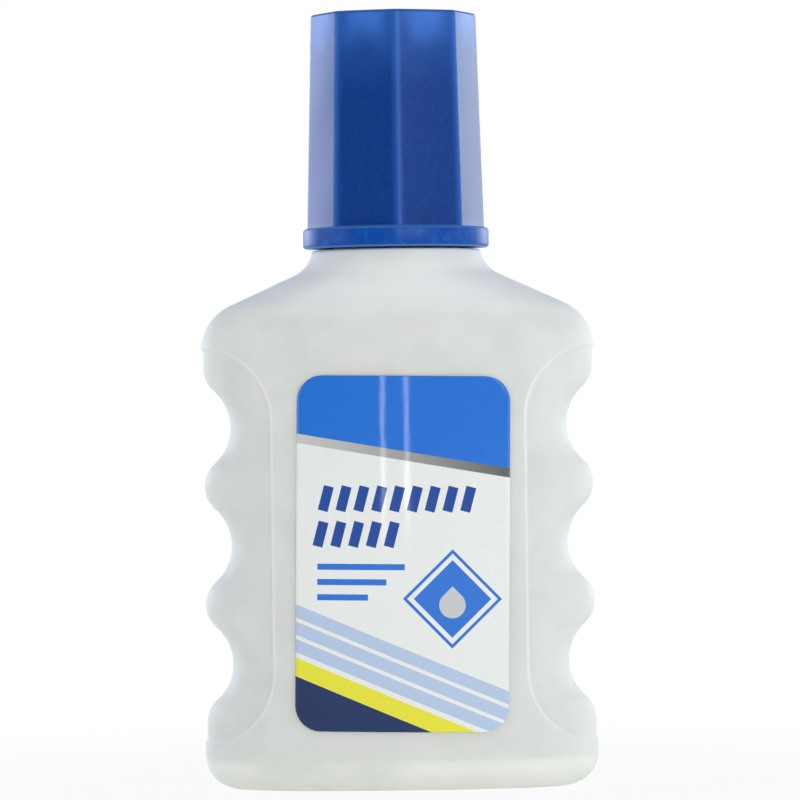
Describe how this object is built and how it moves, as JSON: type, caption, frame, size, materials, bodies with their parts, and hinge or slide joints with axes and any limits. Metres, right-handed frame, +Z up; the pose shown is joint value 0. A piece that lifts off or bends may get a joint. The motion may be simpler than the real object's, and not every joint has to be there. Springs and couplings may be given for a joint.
{
  "type": "correction fluid bottle",
  "caption": "Flat squeeze bottle with finger grips on its sides and a faceted twist-off cap that carries a foam applicator on a stem.",
  "frame": {"origin": "under the middle of the base, on the surface that the bottle stands on", "axes": "+Z up through the neck and the cap, -Y towards the front with the label, +X to the right of the label"},
  "size_m": [0.0392, 0.0201, 0.0772],
  "materials": {
    "bottle_polyethylene": "milky blow-moulded polyethylene, slightly translucent",
    "label_film": "thin printed film with a glossy face",
    "white_fluid": "opaque white fluid",
    "ball_steel": "plain steel ball",
    "cap_polypropylene": "blue injection-moulded polypropylene with a satin gloss",
    "liner_foam": "white polyethylene foam sheet, punched",
    "stem_polyethylene": "natural injection-moulded polyethylene",
    "tip_foam": "soft open-cell foam"
  },
  "bodies": {
    "bottle": {"bottle": "bottle_polyethylene", "label": "label_film", "fluid": "white_fluid", "mixer_ball": "ball_steel"},
    "seal": {"cap_liner": "liner_foam"},
    "cap": {"cap": "cap_polypropylene", "applicator_stem": "stem_polyethylene", "foam_tip": "tip_foam"}
  },
  "joints": [
    {"name": "cap_lift", "type": "slide", "parent": "bottle", "child": "seal", "axis": [0, 0, 1], "range_m": [0, 0.058]},
    {"name": "cap_turn", "type": "hinge", "parent": "seal", "child": "cap", "pos_m": [0, 0, 0.06], "axis": [0, 0, 1], "range_deg": [0, 360]}
  ]
}
